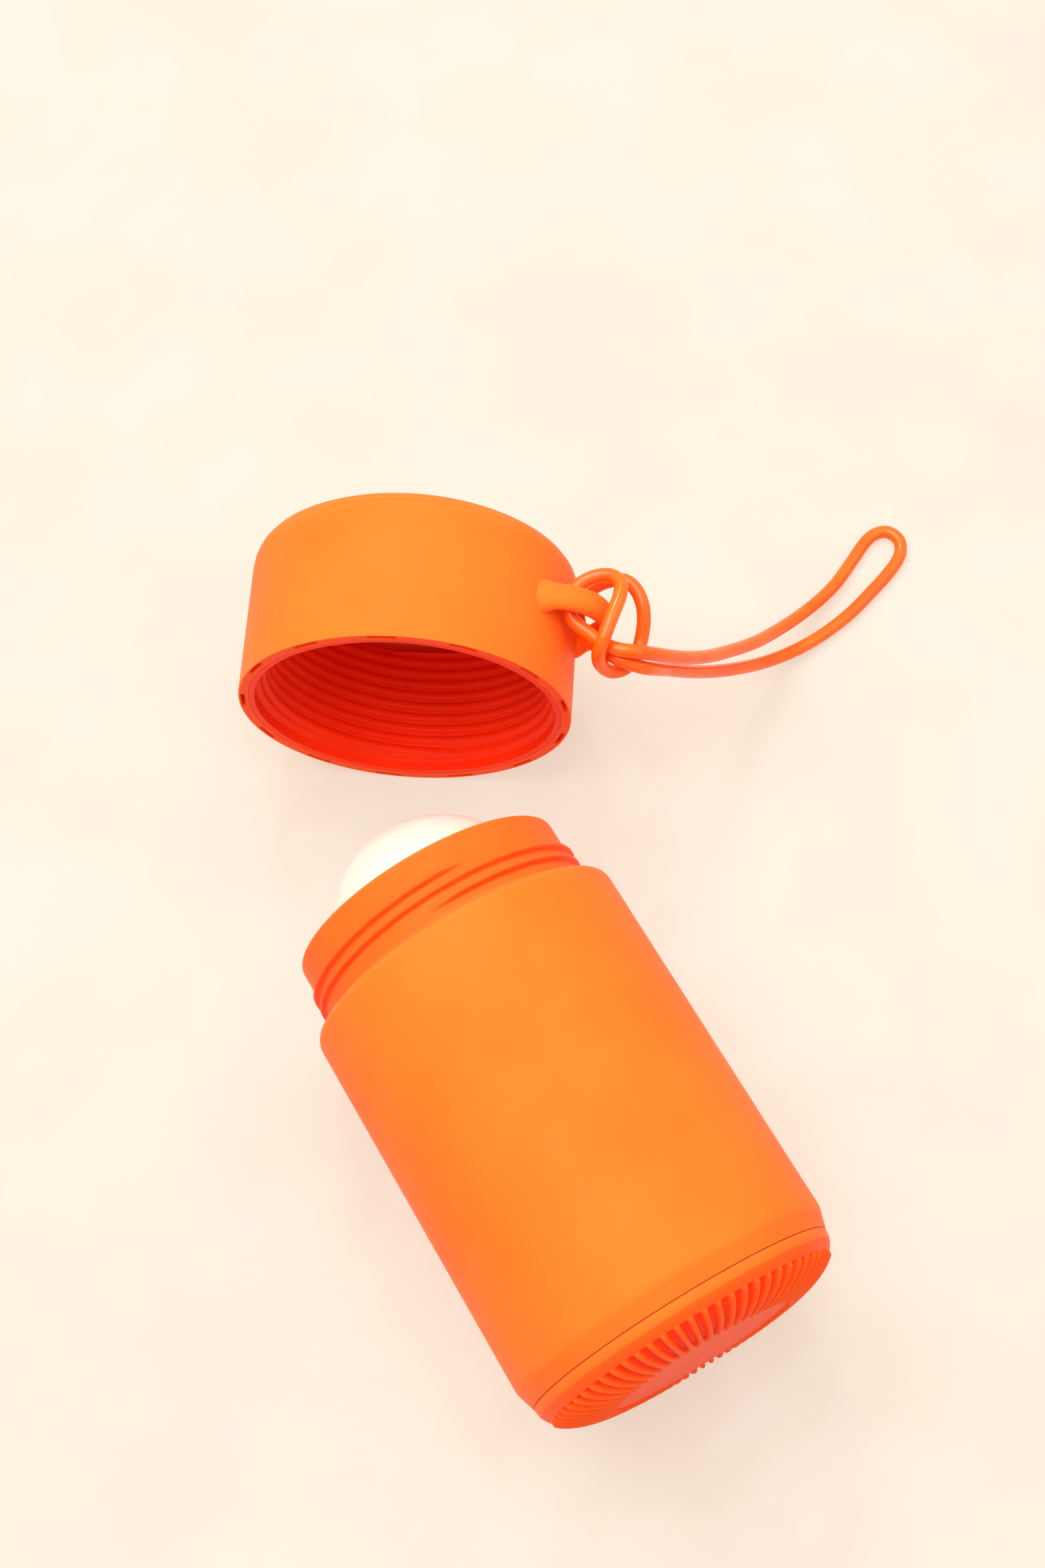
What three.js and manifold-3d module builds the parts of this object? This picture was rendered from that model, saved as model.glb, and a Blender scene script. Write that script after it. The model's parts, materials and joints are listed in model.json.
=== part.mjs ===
// A screw-top canister loudspeaker lying open on a table: a cylindrical body with a threaded neck and a
// pale dome in its mouth, and beside it the deep screw cap with its lug and cord loop.
// Millimetres, +Z up. The canister's axis is +Y, from its domed base to its neck.
import * as THREE from 'three';
import { mergeVertices } from 'three/addons/utils/BufferGeometryUtils.js';
import Module from 'manifold-3d';

// canister, with heights along its axis from the disc at the pole of the base
const bodyRadius = 42;
const bodyWall = 2.5;
const seamRadius = 40.4;
const seamHeight = 9.2;
const taperHeight = 14;
const shoulderHeight = 112.2;
const shoulderFillet = 2.6;
const neckRadius = 36.4;
const neckWall = 2.8;
const neckHeight = 18.8;
const lipRadius = 1.2;
const baseDiscRadius = 23;
const baseRibs = 66;
const ribHeight = 0.8;

// threads: two ridges, half a turn apart, right-handed
const threadPitch = 3.4;
const threadStarts = 2;
const threadLead = threadPitch * threadStarts;
const neckRidgeHeight = 1.1;
const neckRidgeWidth = 1.5;
const neckRidgeTurns = 1.08;
const neckRidgeTop = 11.4;
const neckRidgeStart = 75;

// cap, with depths along its axis from the rim
const capRadius = 43.8;
const capHeight = 43;
const capFillet = 7.5;
const capWall = 2.6;
const linerRadius = 40.9;
const linerRoot = 38.3;
const linerRidgeHeight = 1.3;
const linerRidgeWidth = 1.2;
const linerDepth = 36.4;
const linerRidgeTurns = 4;
const linerLeadDepth = 4.4;
const rimSlots = 13;
const closedGap = 0.4;
const openTurns = 6;

// lug and cord
const lugDepth = 22.5;
const lugTurn = 21.5;
const lugReach = 56;
const lugHalfSpan = THREE.MathUtils.degToRad(17.3);
const lugSection = [4.6, 7.2];
const cordRadius = 1.85;

// where the cap lies: its rim's centre, and the turn from the canister's axis to its own
const capRestX = 20.3;
const capRestY = 179.2;
const capRestTurn = THREE.MathUtils.degToRad(33.9);

// pieces in the mouth
const domeRadius = 28;
const domeCentre = 123.4;
const domeWall = 1.8;
const deckHeight = 118.6;
const deckThickness = 2.4;
const soundSlots = 12;
const chassisDrop = 6;

const gap = 0.3;
const roundSteps = 44;
const smallSteps = 24;
const ridgeSteps = 20;
const neckRim = shoulderHeight + neckHeight;
const neckBore = neckRadius - neckWall;
const axisHeight = bodyRadius * Math.cos(Math.PI / roundSteps);
const capAxisHeight = capRadius * Math.cos(Math.PI / roundSteps);

const wasm = await Module();
wasm.setup();

const orange = { color: 0xff7a35, roughness: 0.5, metalness: 0 };
const deepOrange = { color: 0xe23c16, roughness: 0.5, metalness: 0 };
const cordOrange = { color: 0xff5a1a, roughness: 0.2, metalness: 0 };
const cream = { color: 0xf0f0dc, roughness: 0.45, metalness: 0 };
const darkPlastic = { color: 0x2b2c2e, roughness: 0.6, metalness: 0 };
const greenBoard = { color: 0x1f5f3c, roughness: 0.5, metalness: 0 };
const steel = { color: 0xb8bbc0, roughness: 0.3, metalness: 1 };
const blackRubber = { color: 0x1c1c1d, roughness: 0.8, metalness: 0 };
const cellBlue = { color: 0x2f6fb0, roughness: 0.4, metalness: 0 };

// ---------- solids ----------

function toSolid(geometry) {
  const bare = geometry.clone();
  bare.deleteAttribute('normal');
  bare.deleteAttribute('uv');
  const merged = mergeVertices(bare, 1e-4);
  const index = Array.from(merged.index.array);
  const triangles = [];
  for (let i = 0; i < index.length; i += 3) {
    const [a, b, c] = index.slice(i, i + 3);
    if (a !== b && b !== c && c !== a) {
      triangles.push(a, b, c);
    }
  }
  const make = (order) => new wasm.Manifold(new wasm.Mesh({
    numProp: 3,
    vertProperties: new Float32Array(merged.attributes.position.array),
    triVerts: new Uint32Array(order),
  }));
  const solid = make(triangles);
  return solid.volume() > 0 ? solid : make(triangles.reverse());
}

function toGeometry(solid) {
  const mesh = solid.getMesh();
  const geometry = new THREE.BufferGeometry();
  geometry.setAttribute('position', new THREE.BufferAttribute(mesh.vertProperties, 3));
  geometry.setIndex(new THREE.BufferAttribute(mesh.triVerts, 1));
  geometry.computeVertexNormals();
  return geometry;
}

// a closed outline of [radius, height] points turned about the Y axis, with a flat facet underneath
function turned(outline, steps = roundSteps) {
  const points = outline.map(([r, y]) => new THREE.Vector2(r, y));
  const geometry = new THREE.LatheGeometry([...points, points[0]], steps);
  return toSolid(geometry.rotateY(Math.PI / steps));
}

function ring(inner, outer, bottom, top, steps = roundSteps) {
  return turned([[inner, bottom], [outer, bottom], [outer, top], [inner, top]], steps);
}

function disc(radius, bottom, top, steps = smallSteps) {
  return turned([[0, bottom], [radius, bottom], [radius, top], [0, top]], steps);
}

function block(width, length, height, x, y, z) {
  return toSolid(new THREE.BoxGeometry(width, length, height).translate(x, y, z));
}

// points on an arc of an ellipse, from one angle to another in degrees
function arc(centreX, centreY, radiusX, radiusY, from, to, steps) {
  const points = [];
  for (let i = 0; i <= steps; i += 1) {
    const angle = THREE.MathUtils.degToRad(from + (to - from) * i / steps);
    points.push([centreX + radiusX * Math.cos(angle), centreY + radiusY * Math.sin(angle)]);
  }
  return points;
}

// a section of [across, up] points carried through a list of frames, each a function that places a point
function swept(section, frames) {
  const corners = section.length;
  const positions = frames.flatMap((place) => section.flatMap(([across, up]) => place(across, up)));
  const index = [];
  for (let i = 0; i + 1 < frames.length; i += 1) {
    for (let j = 0; j < corners; j += 1) {
      const a = i * corners + j;
      const b = i * corners + (j + 1) % corners;
      index.push(a, b, a + corners, b, b + corners, a + corners);
    }
  }
  const last = (frames.length - 1) * corners;
  for (let j = 1; j + 1 < corners; j += 1) {
    index.push(0, j + 1, j, last, last + j, last + j + 1);
  }
  const geometry = new THREE.BufferGeometry();
  geometry.setAttribute('position', new THREE.Float32BufferAttribute(positions, 3));
  geometry.setIndex(index);
  return toSolid(geometry);
}

// a right-handed ridge about +Y that runs down from its start; height is signed, outwards from radius
function ridge(radius, height, width, top, startDegrees, turns) {
  const root = -0.6 * Math.sign(height);
  const section = [[-width / 2, root], [width / 2, root], [width / 4, height], [-width / 4, height]];
  const steps = Math.round(turns * ridgeSteps);
  const frames = [];
  for (let i = 0; i <= steps; i += 1) {
    const turn = turns * i / steps;
    const angle = THREE.MathUtils.degToRad(startDegrees) + turn * 2 * Math.PI;
    const fade = Math.min(1, 4 * Math.min(i, steps - i) / steps * turns + 0.05);
    const y = top - turn * threadLead;
    frames.push((across, up) => {
      const r = radius + (up > 0 === height > 0 ? up * fade : up);
      return [r * Math.cos(angle), y + across, r * Math.sin(angle)];
    });
  }
  return swept(section, frames);
}

// the stretch of a closed curve between two shares of its length
class Stretch extends THREE.Curve {
  constructor(whole, from, to) {
    super();
    Object.assign(this, { whole, from, to });
  }

  getPoint(t, target = new THREE.Vector3()) {
    return this.whole.getPointAt(this.from + (this.to - this.from) * t, target);
  }
}

function tube(curve, radius, sides, steps) {
  const corners = arc(0, 0, radius, radius, 0, 360 - 360 / sides, sides - 1);
  const section = new THREE.Shape(corners.map(([x, y]) => new THREE.Vector2(x, y)));
  return toSolid(new THREE.ExtrudeGeometry(section, { steps, extrudePath: curve }));
}

const object = new THREE.Group();
const layout = new THREE.Group();
object.add(layout);

function add(parent, name, solid, look) {
  const mesh = new THREE.Mesh(toGeometry(solid), new THREE.MeshStandardMaterial(look));
  mesh.name = name;
  parent.add(mesh);
  return mesh;
}

// ---------- canister ----------

function bodySleeve() {
  const inside = bodyRadius - bodyWall;
  const outline = [
    [seamRadius - 2, seamHeight + gap],
    [seamRadius, seamHeight + gap],
    ...arc(seamRadius - 0.4, taperHeight, 2, 4.4, -70, 0, 4),
    ...arc(bodyRadius - shoulderFillet, shoulderHeight - shoulderFillet, shoulderFillet, shoulderFillet, 0, 90, 5),
    [neckRadius, shoulderHeight],
    ...arc(neckRadius - lipRadius, neckRim - lipRadius, lipRadius, lipRadius, 0, 90, 3),
    [neckBore + 0.8, neckRim],
    [neckBore, neckRim - 0.8],
    [neckBore, shoulderHeight - bodyWall],
    [inside, shoulderHeight - bodyWall - 3],
    [inside, 19],
    [inside - 3, 17],
    [inside - 3, 15.4],
    [seamRadius - 2, 15.4],
  ];
  let sleeve = turned(outline);
  for (let i = 0; i < threadStarts; i += 1) {
    const start = neckRidgeStart + i * 360 / threadStarts;
    const top = shoulderHeight + neckRidgeTop;
    sleeve = sleeve.add(ridge(neckRadius, neckRidgeHeight, neckRidgeWidth, top, start, neckRidgeTurns));
  }
  return sleeve;
}

// the base's dome: its radius and height at a parameter from 0 at the disc to 1 at the seam
function domeOfBase(t) {
  const angle = t * Math.PI / 2;
  const reach = seamRadius - 0.4 - baseDiscRadius;
  const rise = seamHeight - 0.6;
  return [baseDiscRadius + reach * Math.sin(angle), rise * (1 - Math.cos(angle))];
}

// the outer skin of the base: a solid turned in twice as many steps as it has ribs, with every other
// step of its dome sunk between the ribs
function ribbedDome() {
  const outline = [[0, 0], [baseDiscRadius - 0.5, 0]];
  for (const t of [0, 0.38, 0.68, 0.88, 1]) {
    outline.push(domeOfBase(t));
  }
  outline.push([0, seamHeight - 0.6]);
  const steps = 2 * baseRibs;
  const points = outline.map(([r, y]) => new THREE.Vector2(r, y));
  const geometry = new THREE.LatheGeometry([...points, points[0]], steps);
  const position = geometry.attributes.position;
  const rows = points.length + 1;
  for (let i = 0; i < position.count; i += 1) {
    const row = i % rows;
    const valley = Math.floor(i / rows) % 2 === 1;
    if (valley && row >= 2 && row <= 5) {
      const shrink = 1 - ribHeight / 2 / Math.hypot(position.getX(i), position.getZ(i));
      const rise = row === 5 ? 0 : ribHeight;
      position.setXYZ(i, position.getX(i) * shrink, position.getY(i) + rise, position.getZ(i) * shrink);
    }
  }
  return toSolid(geometry);
}

function baseCap() {
  const spigot = seamRadius - 2 - gap;
  const bottom = seamHeight - 1.6;
  const collar = turned([
    [spigot - 4, bottom],
    [seamRadius - 0.5, bottom],
    [seamRadius, bottom + 0.5],
    [seamRadius, seamHeight],
    [spigot, seamHeight],
    [spigot, 13],
    [spigot - 2, 13],
    [spigot - 2, seamHeight],
    [spigot - 4, seamHeight],
  ]);
  return ribbedDome().add(collar);
}

function screw(radius, degrees, bottom) {
  const turn = THREE.MathUtils.degToRad(degrees);
  const head = disc(1.55, bottom + 3.2, bottom + 4.4, 12);
  const shank = disc(0.9, bottom, bottom + 3.3, 10);
  const socket = disc(0.7, bottom + 3.8, bottom + 5, 6);
  return head.add(shank).subtract(socket).translate([radius * Math.cos(turn), 0, radius * Math.sin(turn)]);
}

const deckMiddle = (domeRadius + neckBore) / 2;
const buttonTurn = 90;
const portTurn = 270;
const screwTurns = [30, 150, 210, 330];

function deckPlate() {
  const top = deckHeight;
  let deck = disc(neckBore - gap, top - deckThickness, top, roundSteps);
  deck = deck.subtract(disc(3, top - 4, top + 1, 16));
  for (let i = 0; i < soundSlots; i += 1) {
    const middle = (i + 0.5) * 360 / soundSlots;
    const frames = arc(0, 0, deckMiddle, deckMiddle, middle - 9, middle + 9, 3).map(([x, z]) => (across, up) => {
      const scale = 1 + across / deckMiddle;
      return [x * scale, top - deckThickness / 2 + up, z * scale];
    });
    const section = [[-1.3, -3], [1.3, -3], [1.3, 3], [-1.3, 3]];
    deck = deck.subtract(swept(section, frames));
  }
  for (const degrees of screwTurns) {
    const turn = THREE.MathUtils.degToRad(degrees);
    const hole = disc(1.25, top - 4, top + 1, 12);
    deck = deck.subtract(hole.translate([deckMiddle * Math.cos(turn), 0, deckMiddle * Math.sin(turn)]));
  }
  const button = THREE.MathUtils.degToRad(buttonTurn);
  const buttonHole = disc(2.05, top - 4, top + 1, 20);
  deck = deck.subtract(buttonHole.translate([deckMiddle * Math.cos(button), 0, deckMiddle * Math.sin(button)]));
  return deck.subtract(block(9.9, 6, 3.8, 0, top - 1, -deckMiddle));
}

function lightDome() {
  const inner = domeRadius - domeWall;
  const foot = deckHeight + gap - domeCentre;
  const outside = Math.sqrt(domeRadius ** 2 - foot ** 2);
  const outline = [
    ...arc(0, domeCentre, domeRadius, domeRadius, 0, 90, 8),
    ...arc(0, domeCentre, inner, inner, 90, 0, 5),
    [inner - 0.2, domeCentre + foot],
    [outside, domeCentre + foot],
  ];
  outline[8][0] = 0;
  outline[9][0] = 0;
  return turned(outline, 32);
}

function ledBoard() {
  const bottom = deckHeight + gap;
  let board = disc(22, bottom, bottom + 1.6);
  for (let i = 0; i < 6; i += 1) {
    const turn = i * Math.PI / 3;
    board = board.add(block(3, 1.4, 3, 14 * Math.cos(turn), bottom + 2.1, 14 * Math.sin(turn)));
  }
  return board;
}

function driverBasket() {
  const outline = [
    [17.5, 97.3], [17.5, 99.5], [30, 109.2], [30, 112.4], [33.2, 112.4], [33.2, 110], [31.4, 110], [31.4, 108.5],
    [19.4, 97.3],
  ];
  let basket = turned(outline, 28);
  for (let i = 0; i < 6; i += 1) {
    const turn = i * 60;
    basket = basket.subtract(block(9, 5, 9, 0, 103.5, 25).rotate([0, turn, 0]));
  }
  return basket.add(ring(10.5, 19.4, 96, 97.5, 28));
}

function driverMagnet() {
  return ring(6, 17, 91.4, 95.7, 30).add(disc(17, 90, 91.6, 30)).add(disc(4.6, 91.5, 98, 16));
}

function driverCone() {
  const outline = [
    [5.2, 93.5], [5.8, 93.5], [5.8, 101], [26.4, 109.6], [26.4, 110.4], [9, 103.3], [4, 105.6], [0, 106.2],
    [0, 105.4], [3.6, 104.9], [8, 102.7], [5.2, 101.5],
  ];
  return turned(outline, 30);
}

function driverSurround() {
  const outline = [
    [26.8, 112.8], ...arc(29.2, 112.8, 1.9, 1.6, 180, 0, 3), [32.4, 112.8], [32.4, 113.4], [31.7, 113.4],
    ...arc(29.2, 113.4, 2.5, 2.2, 0, 180, 3), [26.8, 113.4],
  ];
  return turned(outline, 28);
}

function bulkhead() {
  const wall = disc(38.9, 86.4, 88.6, 30);
  const hub = ring(17.3, 19.2, 88.5, 93, 24);
  return wall.add(hub).subtract(disc(4, 86, 89, 16).translate([0, 0, 28]));
}

function batteryTray() {
  const plate = block(38, 66, 1.8, 0, 52, -0.5 + 2.6);
  const foot = block(38, 1.8, 20, 0, 18.6, -6.6);
  const head = block(38, 1.8, 20, 0, 85, -6.6);
  return plate.add(foot).add(head);
}

function batteryCell(x) {
  const cell = turned([[0, 20.2], [9.1, 20.2], [9.1, 82], [8, 82.6], [3, 82.6], [3, 83.6], [0, 83.6]], 24);
  return cell.translate([x, 0, -8.4]);
}

function mainBoard() {
  let board = block(34, 62, 1.6, 0, 52, 9);
  const chips = [[0, 40, 9, 9, 1.6], [-9, 60, 6, 5, 1.4], [9, 62, 5, 6, 2], [8, 30, 7, 4, 3], [-8, 28, 4, 8, 4]];
  for (const [x, y, width, length, height] of chips) {
    board = board.add(block(width, length, height + 0.5, x, y, 9.6 + height / 2));
  }
  return board;
}

function boardPosts() {
  const rail = (x) => block(2.4, 62, 4.6, x, 52, 5.5);
  return [rail(-15), rail(15)];
}

function usbPort() {
  const shell = block(9.2, 8, 3.2, 0, deckHeight - 4, -deckMiddle);
  return shell.subtract(block(8.2, 7, 2.2, 0, deckHeight - 2.2, -deckMiddle));
}

function powerButton() {
  const stem = disc(1.1, deckHeight - 5.4, deckHeight - 0.4, 16);
  const pad = disc(1.75, deckHeight - 2.2, deckHeight + 0.6, 20);
  return stem.add(pad).translate([0, 0, deckMiddle]);
}

function switchBoard() {
  const top = deckHeight - 5.8;
  const board = block(9, 1.2, 5, 0, top - 1.7, deckMiddle - 1.4);
  return board.add(block(3.4, 1.2, 3.4, 0, top - 0.6, deckMiddle - 0.6));
}

const canister = new THREE.Group();
canister.position.z = axisHeight;
layout.add(canister);
const chassis = new THREE.Group();
chassis.position.y = -chassisDrop;
canister.add(chassis);
add(canister, 'body_sleeve', bodySleeve(), orange);
add(canister, 'base_cap', baseCap(), orange);
add(canister, 'base_gasket', ring(36.6, 38.1, 13.3, 15.1), blackRubber);
add(canister, 'neck_seal', ring(neckRadius + gap, neckRadius + 1.5, shoulderHeight + gap, shoulderHeight + 1.7),
  deepOrange);
add(canister, 'sound_deck', deckPlate(), orange);
screwTurns.forEach((degrees, i) => {
  add(canister, `deck_screw_${i + 1}`, screw(deckMiddle, degrees, deckHeight - 3.1), steel);
});
add(canister, 'light_dome', lightDome(), cream);
add(canister, 'led_board', ledBoard(), greenBoard);
add(chassis, 'driver_basket', driverBasket(), darkPlastic);
add(chassis, 'driver_magnet', driverMagnet(), steel);
add(chassis, 'driver_cone', driverCone(), darkPlastic);
add(chassis, 'driver_surround', driverSurround(), blackRubber);
add(chassis, 'bulkhead', bulkhead(), darkPlastic);
add(chassis, 'battery_tray', batteryTray(), darkPlastic);
add(chassis, 'battery_cell_1', batteryCell(-9.5), cellBlue);
add(chassis, 'battery_cell_2', batteryCell(9.5), cellBlue);
boardPosts().forEach((rail, i) => add(chassis, `board_rail_${i + 1}`, rail, darkPlastic));
add(chassis, 'main_board', mainBoard(), greenBoard);
add(canister, 'usb_port', usbPort(), steel);
add(canister, 'power_button', powerButton(), orange);
add(canister, 'switch_board', switchBoard(), greenBoard);

// ---------- cap, modelled about +Y with its rim at 0 and the lug turned up from +X ----------

function lug() {
  const [wide, deep] = lugSection;
  const section = arc(0, 0, wide / 2, deep / 2, 0, 315, 7);
  const root = capRadius * Math.cos(lugHalfSpan) - 2;
  const reach = lugReach - wide / 2 - root;
  const span = capRadius * Math.sin(lugHalfSpan);
  const frames = [];
  for (let i = 0; i <= 12; i += 1) {
    const angle = THREE.MathUtils.degToRad(-90 + 15 * i);
    const outX = Math.cos(angle) * span;
    const outZ = Math.sin(angle) * reach;
    const length = Math.hypot(outX, outZ);
    const x = root + reach * Math.cos(angle);
    const z = span * Math.sin(angle);
    frames.push((across, up) => [x + across * outX / length, up, z + across * outZ / length]);
  }
  return swept(section, frames).rotate([0, -lugTurn, 0]).translate([0, lugDepth, 0]);
}

function capShell() {
  const inner = linerRadius + gap;
  const top = capHeight - capWall;
  const innerFillet = capFillet - 2;
  const outline = [
    [inner, 0],
    [capRadius - 0.7, 0],
    [capRadius, 0.7],
    ...arc(capRadius - capFillet, capHeight - capFillet, capFillet, capFillet, 0, 90, 8),
    [0, capHeight],
    [0, top],
    ...arc(inner - innerFillet, top - innerFillet, innerFillet, innerFillet, 90, 0, 4),
  ];
  const insideWall = disc(capRadius - 1.2, 0, capHeight, roundSteps);
  let shell = turned(outline).add(lug().subtract(insideWall));
  for (let i = 0; i < rimSlots; i += 1) {
    const middle = (i + 0.5) * 360 / rimSlots;
    const frames = arc(0, 0, inner + 0.6, inner + 0.6, middle - 5, middle + 5, 3).map(([x, z]) => (across, up) => {
      const scale = 1 + across / inner;
      return [x * scale, up, z * scale];
    });
    shell = shell.subtract(swept([[-0.8, -1], [0.4, -1], [0.4, 1], [-0.8, 1]], frames));
  }
  return shell;
}

// its ridges run half a pitch from the neck's when the cap is screwed home
function capLiner() {
  const lead = linerRoot + 1.3;
  let liner = turned([
    [lead, 0.6],
    [linerRadius, 0.6],
    [linerRadius, linerDepth - 1.8],
    [linerRoot, linerDepth],
    [linerRoot, linerLeadDepth],
    [lead, linerLeadDepth - 1.2],
  ]);
  const meshTop = neckRidgeTop - closedGap;
  const above = Math.floor((linerDepth - 2 - meshTop) / threadPitch - 0.5) + 0.5;
  for (let i = 0; i < threadStarts; i += 1) {
    const start = neckRidgeStart + i * 360 / threadStarts;
    const top = meshTop + above * threadPitch;
    liner = liner.add(ridge(linerRoot, -linerRidgeHeight, linerRidgeWidth, top, start, linerRidgeTurns));
  }
  return liner;
}

// The cap swings into line about one axis beside the neck, then screws home. The axis leans a little
// from the vertical, because the cap is wider than the body and so lies with its own axis higher.
const openRim = new THREE.Vector3(0, shoulderHeight + closedGap + openTurns * threadLead, axisHeight);
const restRim = new THREE.Vector3(capRestX, capRestY, capAxisHeight);
const restAxis = new THREE.Vector3(Math.sin(capRestTurn), Math.cos(capRestTurn), 0);
const openAxis = new THREE.Vector3(0, 1, 0);
const travel = openRim.clone().sub(restRim);
const between = restAxis.clone().add(openAxis).normalize();
const lean = Math.atan(-travel.z / travel.dot(between));
const swingAxis = new THREE.Vector3(0, 0, Math.cos(lean)).addScaledVector(between, Math.sin(lean));
const swingAngle = restAxis.clone().projectOnPlane(swingAxis).angleTo(openAxis.clone().projectOnPlane(swingAxis));
const swingPivot = openRim.clone().add(restRim).multiplyScalar(0.5)
  .addScaledVector(swingAxis.clone().cross(travel), 0.5 / Math.tan(swingAngle / 2));

const cap = new THREE.Group();
cap.position.copy(restRim);
cap.quaternion.setFromAxisAngle(swingAxis, -swingAngle);
layout.add(cap);
add(cap, 'cap_shell', capShell(), orange);
add(cap, 'cap_liner', capLiner(), deepOrange);

// ---------- cord ----------

// the knot, as points in the lug's own frame: out from the cap's axis, up the cap's side, and along the arch
const knotRoute = [
  [62.6, -12.5, -7.6], [59.5, -12.3, -4.8], [55.9, -10.8, -3.3], [51.9, -7.9, -3], [47.6, -4.2, -3],
  [46.2, 0, -1.6], [46.8, 4.8, -0.6], [49.8, 8.2, -0.6], [53.4, 10.3, -1.4], [57.6, 10.6, -1.8],
  [60.4, 8.8, -2.8], [62.3, 4.9, -4.4], [62.4, 0.8, -6.6], [61.1, -3.7, -9], [59.4, -8.1, -10],
  [56.9, -11.3, -9.4], [54.2, -13, -7.2], [52.8, -13.3, -2.4], [53.8, -12.7, 3], [55.7, -10.4, 5.6],
  [57.2, -6.8, 6.4], [58.5, -2.5, 6.2], [59.6, 2, 5.6], [59.4, 5.9, 5.2], [56.8, 8.3, 5.2],
  [52.6, 8.4, 5.4], [48.6, 6, 6.2], [46.3, 1.6, 6.4], [46.6, -2.8, 4.6], [50.2, -6, 2.6], [53.1, -8.1, 1.2],
  [57, -10.3, 0.5], [60.7, -10.9, -0.7], [63.9, -10.5, -3.2],
];
// the loop, as points above the table beside the canister
const loopRoute = [
  [88.2, 153.8, 51], [97.9, 154.6, 40], [108.6, 156.8, 29], [119.8, 159.1, 19.5], [131.5, 162.3, 11.5],
  [143.6, 165.7, 5.6], [155.5, 169.6, 2.6], [167, 175.2, 1.9], [173.6, 177.8, 1.9], [178.2, 176.8, 1.9],
  [179.8, 172.8, 1.9], [177.4, 168.6, 1.9], [171.6, 165.4, 1.9], [163.6, 162.6, 1.9], [153.9, 159.7, 1.9],
  [143, 157.9, 2.2], [132.4, 157, 4.2], [122, 156.4, 9], [112.3, 155.7, 16.4], [102.6, 155, 25.6],
  [93.2, 154.3, 36.4], [85, 153.8, 47],
];
cap.updateMatrixWorld();
const lugPlace = new THREE.Matrix4().makeRotationY(THREE.MathUtils.degToRad(-lugTurn)).setPosition(0, lugDepth, 0);
const knotPoints = knotRoute.map((point) => cap.localToWorld(new THREE.Vector3(...point).applyMatrix4(lugPlace)));
const loopPoints = loopRoute.map(([x, y, z]) => new THREE.Vector3(x, y, z));
const route = new THREE.CatmullRomCurve3([...knotPoints, ...loopPoints], true, 'centripetal');
const finePoints = 20;
const lengths = route.getLengths(route.points.length * finePoints);
const cordLength = lengths.at(-1);
route.arcLengthDivisions = 2000;
const knotEnd = lengths[(knotPoints.length - 1) * finePoints] / cordLength;
const cut = 1.5 * gap / cordLength;
const cord = new THREE.Group();
layout.add(cord);
add(cord, 'cord_knot', tube(new Stretch(route, 0, knotEnd), cordRadius, 8, 48), cordOrange);
add(cord, 'cord_loop', tube(new Stretch(route, knotEnd + cut, 1 - cut), cordRadius, 8, 30), cordOrange);

// the whole stands on z = 0, with the origin under the middle of everything but the cord
const box = new THREE.Box3();
canister.updateMatrixWorld();
for (const group of [canister, cap]) {
  box.union(new THREE.Box3().setFromObject(group, true));
}
const middle = box.getCenter(new THREE.Vector3());
layout.position.set(-middle.x, -middle.y, -box.min.z);
object.userData.joints = {
  canisterAxis: [0, shoulderHeight, axisHeight].map((value, i) => value + layout.position.getComponent(i)),
  swingPivot: swingPivot.clone().add(layout.position).toArray(),
  swingAxis: swingAxis.toArray(),
  swingDegrees: THREE.MathUtils.radToDeg(swingAngle),
  slideRange: openTurns * threadLead,
  spinDegrees: openTurns * 360,
  cordLength,
};

export default object;
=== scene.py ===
# The looks of a screw-top canister speaker that lies open, with its cap and cord loop beside it.
# Sizes are in millimetres in local frames, and MM brings them to the metres of the shared frame.
import json
import math

import bmesh
import bpy
import numpy as np
from mathutils import Matrix, Quaternion, Vector


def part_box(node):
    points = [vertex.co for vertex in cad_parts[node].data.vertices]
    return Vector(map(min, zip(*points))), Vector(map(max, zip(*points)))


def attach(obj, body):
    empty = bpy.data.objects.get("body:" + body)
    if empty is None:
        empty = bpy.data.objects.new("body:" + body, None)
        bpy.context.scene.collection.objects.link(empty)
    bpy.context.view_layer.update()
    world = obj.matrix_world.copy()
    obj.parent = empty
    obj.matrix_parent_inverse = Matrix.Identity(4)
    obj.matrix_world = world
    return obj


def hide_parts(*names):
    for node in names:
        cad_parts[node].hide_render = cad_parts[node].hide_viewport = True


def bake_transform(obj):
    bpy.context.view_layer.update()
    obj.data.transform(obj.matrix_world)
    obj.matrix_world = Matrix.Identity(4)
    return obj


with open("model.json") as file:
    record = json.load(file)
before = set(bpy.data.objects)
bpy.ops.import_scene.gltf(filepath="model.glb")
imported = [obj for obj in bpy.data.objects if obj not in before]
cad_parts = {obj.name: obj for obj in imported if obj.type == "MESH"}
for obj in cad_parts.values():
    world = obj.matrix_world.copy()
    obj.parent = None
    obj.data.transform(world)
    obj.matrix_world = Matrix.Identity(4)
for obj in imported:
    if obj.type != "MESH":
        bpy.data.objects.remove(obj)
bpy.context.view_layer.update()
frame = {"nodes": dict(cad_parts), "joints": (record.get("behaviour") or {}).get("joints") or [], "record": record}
record = frame["record"]
MM = 0.001

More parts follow.
